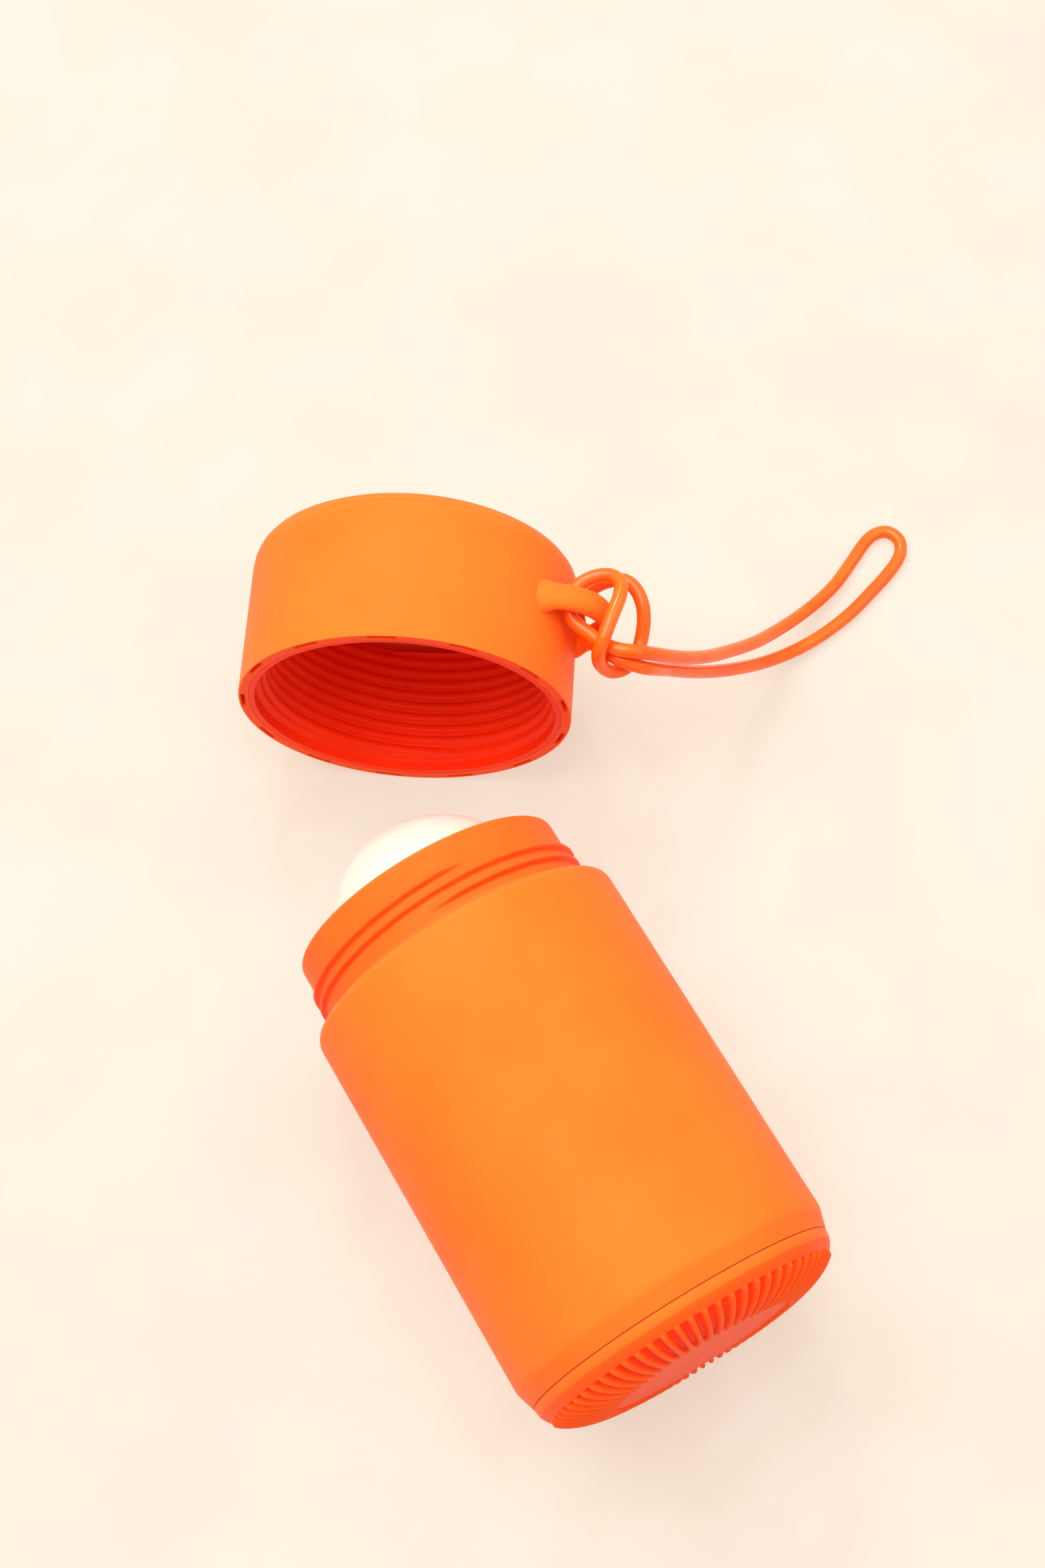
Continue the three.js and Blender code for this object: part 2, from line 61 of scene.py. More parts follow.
# canister, with heights along its axis from the disc at the pole of its base
BODY_RADIUS = 42
BODY_WALL = 2.5
SEAM_RADIUS = 40.4
SEAM_HEIGHT = 9.2
TAPER_HEIGHT = 14.4
SHOULDER_HEIGHT = 112.2
NECK_RADIUS = 36.4
NECK_RIM = 131
NECK_BORE = 33.6
BASE_DISC_RADIUS = 23
BASE_RIBS = 66
RIB_OUTER_END = 38.2
DOME_RADIUS = 28
DOME_CENTRE = 123.4
DOME_WALL = 1.8
DECK_HEIGHT = 118.6
DECK_THICKNESS = 2.4
SOUND_SLOTS = 12
SCREW_TURNS = (30, 150, 210, 330)

# threads: two ridges, half a turn apart, right-handed
THREAD_PITCH = 3.4
THREAD_STARTS = 2
THREAD_LEAD = THREAD_PITCH * THREAD_STARTS
NECK_RIDGE_TOP = 11.4
NECK_RIDGE_START = math.radians(75)
NECK_RIDGE_TURNS = 1.08
NECK_RIDGE_WIDTH = 1.8
LINER_RIDGE_TURNS = 4.6
CLOSED_GAP = 0.4

# cap, with depths along its axis from its rim
CAP_RADIUS = 43.8
CAP_HEIGHT = 43
CAP_BORE = 41.2
CAP_FILLET = 7.5
CAP_WALL = 2.6
LINER_ROOT = 38.3
LINER_DEPTH = 36.4
RIM_SLOTS = 13
LUG_DEPTH = 22.5
LUG_TURN = math.radians(21.5)
LUG_REACH = 56
LUG_HALF_SPAN = math.radians(17.3)
LUG_SECTION = (4.6, 7.2)
CORD_RADIUS = 1.85

GAP = 0.3
SEAM_GAP = 0.16  # narrower than CAD's, as the seam looks
CAD_FLATS = 44  # round CAD solids have this many flats, and what lies on the table lies on one of them
ACROSS_FLATS = math.cos(math.pi / CAD_FLATS)

# the canister's frame: +Y up its axis from the pole of its base
sleeve_low, sleeve_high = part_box("body_sleeve")
base_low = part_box("base_cap")[0]
sleeve_middle = (sleeve_low + sleeve_high) / 2
canister_place = Matrix.Translation((sleeve_middle.x, base_low.y, sleeve_middle.z))

# the cap's frame: +Y up its axis from the middle of its rim; the lug's frame has +X out through the lug
cap_top = next(m for m in record["mounts"] if m["name"] == "cap_top")
swing = next(j for j in frame["joints"] if j["name"] == "cap_swing")
cap_turn = Quaternion(swing["axis"], -math.radians(swing["range_deg"][1]))
cap_rim = Vector(cap_top["pos_m"]) - cap_turn @ Vector((0, CAP_HEIGHT * MM, 0))
cap_place = Matrix.Translation(cap_rim) @ cap_turn.to_matrix().to_4x4()
lug_place = cap_place @ Matrix.Rotation(-LUG_TURN, 4, "Y") @ Matrix.Translation((0, LUG_DEPTH * MM, 0))


# ---------- camera ----------

def add_camera():
    """Above the table, tilted from straight down and turned off the canister's axis; no shift."""
    data = bpy.data.cameras.new("camera")
    data.lens = 51.1
    data.sensor_width = 36
    data.clip_start = 0.01
    camera = bpy.data.objects.new("camera", data)
    bpy.context.scene.collection.objects.link(camera)
    camera.location = (sleeve_middle.x - 0.0774, base_low.y - 0.0492, 0.573)
    camera.rotation_euler = (math.radians(23.11), 0, math.radians(-30.29))
    bpy.context.scene.camera = camera


add_camera()


# ---------- meshes ----------

def smooth(x):
    x = np.clip(x, 0, 1)
    return x * x * (3 - 2 * x)


def filleted(corners, closed, steps=6):
    """The points of an outline whose corners are (radius, height, fillet)."""
    points = []
    count = len(corners)
    for i, (x, y, fillet) in enumerate(corners):
        here = np.array((x, y), float)
        end = not closed and i in (0, count - 1)
        if end or fillet == 0:
            points.append(here)
            continue
        before = np.array(corners[i - 1][:2], float) - here
        after = np.array(corners[(i + 1) % count][:2], float) - here
        sides = [np.linalg.norm(before), np.linalg.norm(after)]
        before, after = before / sides[0], after / sides[1]
        half = math.acos(np.clip(before @ after, -1, 1)) / 2
        reach = min(fillet / math.tan(half), 0.48 * min(sides))
        for t in np.linspace(0, 1, steps + 1):
            near, far = (1 - t) ** 2 * reach, t ** 2 * reach
            points.append(here + before * near + after * far)
    return np.array(points)


def divided(points, closed, step):
    """The same outline with no stretch longer than step."""
    count = len(points)
    found = []
    for i in range(count if closed else count - 1):
        a, b = points[i], points[(i + 1) % count]
        parts = max(1, math.ceil(np.linalg.norm(b - a) / step))
        found += [a + (b - a) * k / parts for k in range(parts)]
    return np.array(found if closed else [*found, points[-1]])


def edges_of(outline, closed):
    """How sharply an outline turns at each point, from 0 on its flats to 1 on its tightest corners."""
    before, after = np.roll(outline, 1, 0) - outline, np.roll(outline, -1, 0) - outline
    lengths = np.linalg.norm(before, axis=1) + np.linalg.norm(after, axis=1)
    straight = np.linalg.norm(after - before, axis=1)
    bend = 1 - straight / np.maximum(lengths, 1e-9)
    if not closed:
        bend[[0, -1]] = 0
    return smooth(np.clip(bend * 60, 0, 1))


def make_object(name, points, faces, place, material, **values):
    """A smooth mesh of points in mm, put in place in the shared frame, with its outside facing out and
    each of the values, one for each point, as an attribute."""
    mesh = bpy.data.meshes.new(name)
    turned = np.array(place, float)
    mesh.from_pydata((points * MM) @ turned[:3, :3].T + turned[:3, 3], [], faces)
    for key, value in values.items():
        mesh.attributes.new(key, "FLOAT", "POINT").data.foreach_set("value", value.astype(np.float32))
    shape = bmesh.new()
    shape.from_mesh(mesh)
    bmesh.ops.remove_doubles(shape, verts=shape.verts, dist=1e-7)
    bmesh.ops.recalc_face_normals(shape, faces=shape.faces)
    for face in shape.faces:
        face.smooth = True
    shape.to_mesh(mesh)
    shape.free()
    mesh.materials.append(material)
    piece = bpy.data.objects.new(name, mesh)
    bpy.context.scene.collection.objects.link(piece)
    return piece


def grid_faces(rows, columns, wrap_columns):
    """Quads between rows that close on themselves and columns that may."""
    faces = []
    for i in range(rows):
        low, high = i * columns, (i + 1) % rows * columns
        for k in range(columns if wrap_columns else columns - 1):
            right = (k + 1) % columns
            faces.append((low + k, low + right, high + right, high + k))
    return faces


def lathe(name, corners, closed, steps, place, material, step=1.5, shape=None, tint=None):
    """An outline of (radius, height, fillet) turned about +Y; shape(r, y, angle) moves its points, and the
    other function of (r, y, angle), when given, says how far each point takes its material's deeper red:
    painted shade in hollows, slots, pockets and beside ridges, and a plain deeper tone elsewhere."""
    outline = divided(filleted(corners, closed), closed, step)
    angle = np.linspace(0, 2 * math.pi, steps, endpoint=False)[:, None]
    r = np.repeat(outline[None, :, 0], steps, 0)
    y = np.repeat(outline[None, :, 1], steps, 0)
    deeper = (tint(r, y, angle) if tint else np.zeros_like(r)).ravel()
    if shape:
        r, y = shape(r, y, angle)
    r = r * ACROSS_FLATS
    points = np.stack([r * np.cos(angle), y, r * np.sin(angle)], -1).reshape(-1, 3)
    edge = np.repeat(edges_of(outline, closed)[None], steps, 0).ravel()
    faces = grid_faces(steps, len(outline), closed)
    return make_object(name, points, faces, place, material, edge=edge, tint=deeper)


def tube(name, rings, closed, place, material):
    """A skin over rings of points, with a face on each end unless it closes on itself."""
    rings = np.array(rings)
    count, sides = rings.shape[:2]
    faces = grid_faces(count, sides, True)
    if not closed:
        faces = faces[:(count - 1) * sides]
        last = (count - 1) * sides
        faces += [tuple(range(sides)), tuple(range(last, last + sides))]
    plain = np.zeros(count * sides)
    return make_object(name, rings.reshape(-1, 3), faces, place, material, edge=plain, tint=plain)


def cut(piece, other):
    """Cuts piece with other, which is used up."""
    step = piece.modifiers.new("cut", "BOOLEAN")
    step.operation = "DIFFERENCE"
    step.solver = "EXACT"
    step.object = other
    bpy.context.view_layer.update()
    result = bpy.data.meshes.new_from_object(piece.evaluated_get(bpy.context.evaluated_depsgraph_get()))
    piece.modifiers.clear()
    piece.data = result
    bpy.data.objects.remove(other)


def joined(piece, other):
    """Makes other a part of piece's own mesh."""
    with bpy.context.temp_override(active_object=piece, selected_editable_objects=[piece, other]):
        bpy.ops.object.join()


def thread(angle, y, top, start, turns, width, flank):
    """How high two ridges stand at each point, from 0 to 1, as they run down from top; flank is the share
    of the width that each of their sides takes up."""
    raised = np.zeros_like(y)
    for k in range(THREAD_STARTS):
        first = ((angle - start - k * 2 * math.pi / THREAD_STARTS) / (2 * math.pi)) % 1
        for whole in range(math.ceil(turns)):
            turn = first + whole
            away = np.abs(y - (top - turn * THREAD_LEAD))
            end = np.minimum(turn, turns - turn)
            profile = smooth((width / 2 - away) / (width * flank))
            raised = np.maximum(raised, profile * smooth(end * 20) * (end > 0))
    return raised


# ---------- materials ----------

def new_material(name, color, **values):
    """A material whose Principled shader has this colour and these plain values."""
    material = bpy.data.materials.new(name)
    material.use_nodes = True
    shader = material.node_tree.nodes["Principled BSDF"]
    shader.inputs["Base Color"].default_value = (*color, 1)
    for key, value in values.items():
        shader.inputs[key.replace("_", " ")].default_value = value
    material.diffuse_color = (*color, 1)
    return material, shader


def node(material, kind, **settings):
    made = material.node_tree.nodes.new(kind)
    for key, value in settings.items():
        setattr(made, key, value)
    return made


def link(material, source, output, target, entry):
    material.node_tree.links.new(source.outputs[output], target.inputs[entry])


def noise(material, scale, detail=2.0, stretch=(1, 1, 1)):
    """Noise over the piece's own coordinates, which are metres."""
    place = node(material, "ShaderNodeTexCoord")
    mapping = node(material, "ShaderNodeMapping")
    mapping.inputs["Scale"].default_value = stretch
    texture = node(material, "ShaderNodeTexNoise")
    texture.inputs["Scale"].default_value = scale
    texture.inputs["Detail"].default_value = detail
    link(material, place, "Object", mapping, "Vector")
    link(material, mapping, "Vector", texture, "Vector")
    return texture


def ramp(material, source, output, stops):
    """A colour ramp over a value; stops are (position, colour)."""
    made = node(material, "ShaderNodeValToRGB")
    elements = made.color_ramp.elements
    while len(elements) < len(stops):
        elements.new(0.5)
    for element, (position, color) in zip(elements, stops):
        element.position = position
        element.color = (*color, 1)
    link(material, source, output, made, "Fac")
    return made


def mixed(material, mask, mask_output, first, first_output, color):
    """One colour, and another that shows through it where the mask is bright."""
    made = node(material, "ShaderNodeMix", data_type="RGBA")
    link(material, mask, mask_output, made, "Factor")
    link(material, first, first_output, made, 6)
    made.inputs[7].default_value = (*color, 1)
    return made


def scaled(material, source, output, low, high):
    """A value from 0 to 1 brought between two others."""
    made = node(material, "ShaderNodeMapRange")
    made.inputs["To Min"].default_value = low
    made.inputs["To Max"].default_value = high
    link(material, source, output, made, "Value")
    return made


def rough_and_bumpy(material, shader, roughness, grain_scale, grain_depth, wave_depth=0.0):
    """Roughness that drifts between two values, a fine moulded grain, and slow waves under it."""
    drift = noise(material, 90, 3)
    link(material, scaled(material, drift, "Fac", *roughness), "Result", shader, "Roughness")
    grain = noise(material, grain_scale, 3)
    fine = node(material, "ShaderNodeBump")
    fine.inputs["Strength"].default_value = 1
    fine.inputs["Distance"].default_value = grain_depth
    link(material, grain, "Fac", fine, "Height")
    if wave_depth:
        wave = noise(material, 60, 1)
        slow = node(material, "ShaderNodeBump")
        slow.inputs["Strength"].default_value = 1
        slow.inputs["Distance"].default_value = wave_depth
        link(material, wave, "Fac", slow, "Height")
        link(material, slow, "Normal", fine, "Normal")
    link(material, fine, "Normal", shader, "Normal")


def moulded(name, color, deep, worn, roughness, grain_scale=5200, grain_depth=0.00001, tint=None):
    """Satin moulded plastic: two close tones in a slow drift, edges rubbed lighter, and a fine grain.
    Where the mesh's attribute of painted shade and deeper tone is above 0, the given red shows instead:
    painted shade in hollows, slots, pockets and beside ridges, and a plain deeper tone elsewhere."""
    material, shader = new_material(name, color, Specular_IOR_Level=0.12)
    drift = noise(material, 38, 4)
    tone, output = ramp(material, drift, "Fac", [(0.32, deep), (0.68, color)]), "Color"
    if tint:
        shader.inputs["Specular Tint"].default_value = (1.0, 0.5, 0.3, 1)
        where = node(material, "ShaderNodeAttribute", attribute_name="tint")
        tone, output = mixed(material, where, "Fac", tone, output, tint), "Result"
    edge = node(material, "ShaderNodeAttribute", attribute_name="edge")
    specks = noise(material, 900, 4)
    rubbed = node(material, "ShaderNodeMath", operation="MULTIPLY")
    link(material, edge, "Fac", rubbed, 0)
    link(material, scaled(material, specks, "Fac", 0.0, 0.9), "Result", rubbed, 1)
    link(material, mixed(material, rubbed, "Value", tone, output, worn), "Result", shader, "Base Color")
    rough_and_bumpy(material, shader, roughness, grain_scale, grain_depth, 0.00002)
    return material


def glossy_cord():
    """Smooth extruded elastomer under a clear skin, with slow tone changes."""
    color, deep = (1.0, 0.135, 0.005), (0.96, 0.095, 0.003)
    material, shader = new_material(
        "cord_orange", color, Specular_IOR_Level=0.2, Coat_Weight=0.35, Coat_Roughness=0.05,
    )
    drift = noise(material, 120, 3)
    tone = ramp(material, drift, "Fac", [(0.3, deep), (0.7, color)])
    link(material, tone, "Color", shader, "Base Color")
    rough_and_bumpy(material, shader, (0.2, 0.28), 1600, 0.000003)
    return material


def pale_diffuser():
    """Milky translucent plastic, a shade greener deep down, with a fine frosted surface."""
    color, deep = (0.72, 0.68, 0.58), (0.67, 0.64, 0.53)
    material, shader = new_material("pale_diffuser", color, Coat_Weight=0.1, Coat_Roughness=0.3)
    drift = noise(material, 45, 3)
    link(material, ramp(material, drift, "Fac", [(0.3, deep), (0.7, color)]), "Color", shader, "Base Color")
    shader.inputs["Subsurface Weight"].default_value = 0.3
    shader.inputs["Subsurface Radius"].default_value = (0.006, 0.006, 0.004)
    rough_and_bumpy(material, shader, (0.4, 0.5), 4200, 0.000008)
    return material


def plated_steel():
    """Plated steel with a fine grain and dulled patches."""
    material, shader = new_material("plated_steel", (0.72, 0.73, 0.75), Metallic=1.0)
    drift = noise(material, 300, 4)
    tone = ramp(material, drift, "Fac", [(0.3, (0.6, 0.61, 0.63)), (0.7, (0.78, 0.79, 0.8))])
    link(material, tone, "Color", shader, "Base Color")
    rough_and_bumpy(material, shader, (0.22, 0.42), 9000, 0.000004)
    return material


def circuit_board():
    """Green solder mask over copper lines that run in two directions."""
    material, shader = new_material("board_green", (0.03, 0.16, 0.07))
    place = node(material, "ShaderNodeTexCoord")
    tracks = node(material, "ShaderNodeTexBrick")
    tracks.inputs["Scale"].default_value = 240
    tracks.inputs["Mortar Size"].default_value = 0.035
    tracks.inputs["Color1"].default_value = (0.02, 0.13, 0.055, 1)
    tracks.inputs["Color2"].default_value = (0.03, 0.17, 0.075, 1)
    tracks.inputs["Mortar"].default_value = (0.09, 0.3, 0.13, 1)
    link(material, place, "Object", tracks, "Vector")
    link(material, tracks, "Color", shader, "Base Color")
    rough_and_bumpy(material, shader, (0.25, 0.4), 2500, 0.00001)
    return material


ORANGE = (1.0, 0.162, 0.019)
ORANGE_DEEP = (0.98, 0.144, 0.015)
ORANGE_WORN = (1.0, 0.23, 0.05)
# red of painted shade inside the cap, in its slots, between the base's ribs and beside the neck's ridges, and of a
# plain deeper tone on the rest of the neck, the base and the rim
RED_FOR_SHADE_AND_TONE = (1.0, 0.034, 0.003)

orange_body = moulded("orange_body", ORANGE, ORANGE_DEEP, ORANGE_WORN, (0.42, 0.54), tint=RED_FOR_SHADE_AND_TONE)
# the liner's whole colour is painted shade: the cap's own orange plastic, deepened to the red its hollow takes on
orange_liner = moulded("orange_liner", RED_FOR_SHADE_AND_TONE, (0.93, 0.026, 0.002), (1.0, 0.1, 0.02), (0.34, 0.46))
seal_orange = moulded("seal_orange", (0.97, 0.135, 0.022), (0.94, 0.12, 0.02), (1.0, 0.2, 0.05), (0.6, 0.75))
dark_plastic = moulded(
    "dark_plastic", (0.03, 0.03, 0.033), (0.022, 0.022, 0.025), (0.07, 0.07, 0.075), (0.45, 0.6),
)
black_rubber = moulded(
    "black_rubber", (0.016, 0.016, 0.017), (0.011, 0.011, 0.012), (0.03, 0.03, 0.03), (0.65, 0.85),
)
cell_blue = moulded("cell_blue", (0.035, 0.16, 0.45), (0.03, 0.13, 0.38), (0.1, 0.25, 0.5), (0.28, 0.4))
cord_orange = glossy_cord()
diffuser = pale_diffuser()
steel = plated_steel()
board = circuit_board()


# ---------- cord ----------

# the knot, in the lug's frame: out from the cap's axis, up the cap's side, and along the arch
KNOT_ROUTE = [
    (62.6, -12.5, -7.6), (59.5, -12.3, -4.8), (55.9, -10.8, -3.3), (51.9, -7.9, -3), (47.6, -4.2, -3),
    (46.2, 0, -1.6), (46.8, 4.8, -0.6), (49.8, 8.2, -0.6), (53.4, 10.3, -1.4), (57.6, 10.6, -1.8),
    (60.4, 8.8, -2.8), (62.3, 4.9, -4.4), (62.4, 0.8, -6.6), (61.1, -3.7, -9), (59.4, -8.1, -10),
    (56.9, -11.3, -9.4), (54.2, -13, -7.2), (52.8, -13.3, -2.4), (53.8, -12.7, 3), (55.7, -10.4, 5.6),
    (57.2, -6.8, 6.4), (58.5, -2.5, 6.2), (59.6, 2, 5.6), (59.4, 5.9, 5.2), (56.8, 8.3, 5.2),
    (52.6, 8.4, 5.4), (48.6, 6, 6.2), (46.3, 1.6, 6.4), (46.6, -2.8, 4.6), (50.2, -6, 2.6),
    (53.1, -8.1, 1.2), (57, -10.3, 0.5), (60.7, -10.9, -0.7), (63.9, -10.5, -3.2),
]
# the loop, beside the canister: across from its axis, along from the pole of its base, up from the table
LOOP_ROUTE = [
    (88.2, 153.8, 51), (97.9, 154.6, 40), (108.6, 156.8, 29), (119.8, 159.1, 19.5), (131.5, 162.3, 11.5),
    (143.6, 165.7, 5.6), (155.5, 169.6, 2.6), (167, 175.2, 1.9), (173.6, 177.8, 1.9), (178.2, 176.8, 1.9),
    (179.8, 172.8, 1.9), (177.4, 168.6, 1.9), (171.6, 165.4, 1.9), (163.6, 162.6, 1.9), (153.9, 159.7, 1.9),
    (143, 157.9, 2.2), (132.4, 157, 4.2), (122, 156.4, 9), (112.3, 155.7, 16.4), (102.6, 155, 25.6),
    (93.2, 154.3, 36.4), (85, 153.8, 47),
]


def smooth_route(points, steps=24):
    """Points on a closed centripetal Catmull-Rom curve through the given ones."""
    count = len(points)
    found = []
    for i in range(count):
        p = [np.array(points[(i + k - 1) % count]) for k in range(4)]
        knots = [0.0]
        for a, b in zip(p, p[1:]):
            knots.append(knots[-1] + math.sqrt(np.linalg.norm(b - a)))
        for t in np.linspace(knots[1], knots[2], steps, endpoint=False):
            level = p
            for span in (1, 2, 3):
                level = [
                    (a * (knots[k + span] - t) + b * (t - knots[k])) / (knots[k + span] - knots[k])
                    for k, (a, b) in enumerate(zip(level, level[1:]))
                ]
            found.append(level[0])
    return np.array(found)


def evenly(points, count):
    """Points a like way apart on the same closed line."""
    line = np.vstack([points, points[:1]])
    along = np.concatenate([[0], np.cumsum(np.linalg.norm(np.diff(line, axis=0), axis=1))])
    at = np.linspace(0, along[-1], count, endpoint=False)
    return np.stack([np.interp(at, along, line[:, k]) for k in range(3)], 1), along[-1]


def cord_rings(line, radius, sides):
    """Rings square to a closed line, carried along it without twist, with what twist is left spread out."""
    ahead = np.roll(line, -1, 0) - np.roll(line, 1, 0)
    ahead /= np.linalg.norm(ahead, axis=1)[:, None]
    side = np.cross(ahead[0], (0, 0, 1.0))
    carried = []
    for direction in [*ahead, ahead[0]]:
        side = side - direction * (side @ direction)
        side = side / np.linalg.norm(side)
        carried.append(side)
    first, last = carried[0], carried.pop()
    twist = math.atan2(np.cross(last, first) @ ahead[0], last @ first)
    rings = []
    for i, (centre, direction, side) in enumerate(zip(line, ahead, carried)):
        other = np.cross(direction, side)
        turn = np.linspace(0, 2 * math.pi, sides, endpoint=False)[:, None] + twist * i / len(line)
        rings.append(centre + radius * (np.cos(turn) * side + np.sin(turn) * other))
    return rings


def add_cord():
    """One endless cord, hitched through the lug, whose loop runs down to the table."""
    knot = [lug_place @ (Vector(point) * MM) for point in KNOT_ROUTE]
    table = Vector((sleeve_middle.x, base_low.y, 0))
    loop = [table + Vector(point) * MM for point in LOOP_ROUTE]
    line, length = evenly(smooth_route([*knot, *loop]), 640)
    rings = cord_rings(line / MM, CORD_RADIUS, 20)
    cord = tube("cord", rings, True, Matrix.Identity(4), cord_orange)
    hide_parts("cord_knot", "cord_loop")
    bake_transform(cord)


add_cord()


# ---------- canister ----------

def finished(piece, body, slot, *nodes):
    """A piece that rides on a body, and stands for its CAD nodes."""
    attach(piece, body)
    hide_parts(*nodes)
    return piece


def neck_ridges(angle, y, drop, flank):
    top = SHOULDER_HEIGHT + NECK_RIDGE_TOP - drop
    return thread(angle, y, top, NECK_RIDGE_START, NECK_RIDGE_TURNS, NECK_RIDGE_WIDTH, flank)


def neck_thread(r, y, angle):
    on_neck = (np.abs(r - NECK_RADIUS) < 0.01) & (y > SHOULDER_HEIGHT + 0.6)
    raised = neck_ridges(angle, y, 0, 0.24)
    return r + np.where(on_neck, 1.2 * raised, 0), y


def sleeve_tint(r, y, angle):
    """Painted shade in a band just under each of the neck's ridges; a touch deeper over the whole neck, and on the
    taper beside the seam.
    """
    shadow_under_ridges = neck_ridges(angle, y, 0.6, 0.4)
    return (0.26 + 0.4 * shadow_under_ridges) * (r < NECK_RADIUS + 0.5) + 0.12 * (y < TAPER_HEIGHT - 1)


def add_body_sleeve():
    inside = BODY_RADIUS - BODY_WALL
    bottom = SEAM_HEIGHT + SEAM_GAP
    seat = SEAM_RADIUS - 2
    corners = [
        (seat, bottom, 0.2), (SEAM_RADIUS, bottom, 0.35), (BODY_RADIUS, TAPER_HEIGHT, 5),
        (BODY_RADIUS, SHOULDER_HEIGHT, 2.6), (NECK_RADIUS, SHOULDER_HEIGHT, 0.5),
        (NECK_RADIUS, NECK_RIM, 1.2), (NECK_BORE, NECK_RIM, 0.8),
        (NECK_BORE, SHOULDER_HEIGHT - BODY_WALL, 0.5),
        (inside, SHOULDER_HEIGHT - BODY_WALL - 3, 0.5), (inside, 19, 0.5), (inside - 3, 17, 0.5),
        (inside - 3, 15.4, 0.2), (seat, 15.4, 0.2),
    ]
    sleeve = lathe(
        "body_shell", corners, True, 400, canister_place, orange_body, 0.3, neck_thread, sleeve_tint,
    )
    finished(sleeve, "canister", "orange_body", "body_sleeve")


def rib_and_pocket(r, angle):
    """How far each point lies up a round-ended rib, and down in a pocket between two ribs."""
    share = (angle * BASE_RIBS / (2 * math.pi)) % 1 - 0.5
    across = r * np.abs(share) * 2 * math.pi / BASE_RIBS
    half_pitch = r * math.pi / BASE_RIBS
    inner_end = BASE_DISC_RADIUS + 0.5
    half_width = 0.62
    past_end = np.maximum(np.maximum(r - (RIB_OUTER_END - half_width), inner_end + half_width - r), 0)
    away = np.hypot(across, past_end)
    rib = np.sqrt(np.clip(1 - (away / half_width) ** 2, 0, 1))
    reach = smooth((RIB_OUTER_END - r) / 0.9) * smooth((r - inner_end + 0.3) / 1.2)
    return rib, smooth((across - half_width * 0.9) / (half_pitch - half_width) * 1.6) * reach


def base_ribs(r, y, angle):
    """Ribs that stand on the dome, and pockets that sink between them."""
    on_dome = (y < SEAM_HEIGHT - 0.3) & (r > BASE_DISC_RADIUS - 0.2)
    ahead_r, ahead_y = np.gradient(r, axis=1), np.gradient(y, axis=1)
    size = np.maximum(np.hypot(ahead_r, ahead_y), 1e-9)
    rib, pocket = rib_and_pocket(r, angle)
    rise = np.where(on_dome, 0.7 * rib - 0.85 * pocket, 0)
    return r + rise * ahead_y / size, y - rise * ahead_r / size


def base_tint(r, y, angle):
    """Deepest in the pockets, where it is painted shade between the ribs, less so on the ribs and the disc, and
    least on the band beside the seam.
    """
    on_dome = (y < SEAM_HEIGHT - 0.7) & (r < SEAM_RADIUS - 0.6)
    rib, pocket = rib_and_pocket(r, angle)
    return np.where(on_dome, np.where(r < BASE_DISC_RADIUS, 0.72, 0.5 + 0.45 * pocket - 0.1 * rib), 0.1)


def add_base():
    dome = []
    reach, rise = SEAM_RADIUS - 0.2 - BASE_DISC_RADIUS, SEAM_HEIGHT - 0.6
    for turn in np.linspace(0, math.pi / 2, 40):
        dome.append((BASE_DISC_RADIUS + reach * math.sin(turn), rise * (1 - math.cos(turn)), 0))
    spigot = SEAM_RADIUS - 2 - GAP
    corners = [
        (0, 0, 0), (BASE_DISC_RADIUS - 0.5, 0, 0.2), (BASE_DISC_RADIUS - 0.3, 0.35, 0.15), *dome,
        (SEAM_RADIUS, SEAM_HEIGHT, 0.3), (spigot, SEAM_HEIGHT, 0.2), (spigot, 13, 0.2), (spigot - 2, 13, 0.2),
        (spigot - 2, SEAM_HEIGHT + 0.6, 0.2), (0, SEAM_HEIGHT + 0.6, 0),
    ]
    base = lathe(
        "base_cover", corners, False, BASE_RIBS * 14, canister_place, orange_body, 0.32, base_ribs, base_tint,
    )
    finished(base, "canister", "orange_body", "base_cap")


def add_neck_seal():
    low, high = SHOULDER_HEIGHT + GAP, SHOULDER_HEIGHT + 1.5
    corners = [
        (NECK_RADIUS + 0.1, low, 0.3), (NECK_RADIUS + 1.1, low, 0.5),
        (NECK_RADIUS + 1.1, high, 0.5), (NECK_RADIUS + 0.1, high, 0.3),
    ]
    seal = lathe("seal_ring_soft", corners, True, 240, canister_place, seal_orange, 0.4)
    finished(seal, "seal_ring", "seal_orange", "neck_seal")


def add_light_dome():
    foot = DECK_HEIGHT + GAP
    inner = DOME_RADIUS - DOME_WALL
    drop = math.asin((DOME_CENTRE - foot) / DOME_RADIUS)
    corners = [(0, DOME_CENTRE + inner, 0)]
    for turn in np.linspace(math.pi / 2, 0, 30)[1:]:
        corners.append((inner * math.cos(turn), DOME_CENTRE + inner * math.sin(turn), 0))
    corners += [(inner, foot, 0.1)]
    for turn in np.linspace(-drop, math.pi / 2, 44):
        corners.append((DOME_RADIUS * math.cos(turn), DOME_CENTRE + DOME_RADIUS * math.sin(turn), 0))
    corners[-1] = (0, DOME_CENTRE + DOME_RADIUS, 0)
    dome = lathe("light_diffuser", corners, False, 200, canister_place, diffuser, 1.2)
    finished(dome, "canister", "pale_diffuser", "light_dome")


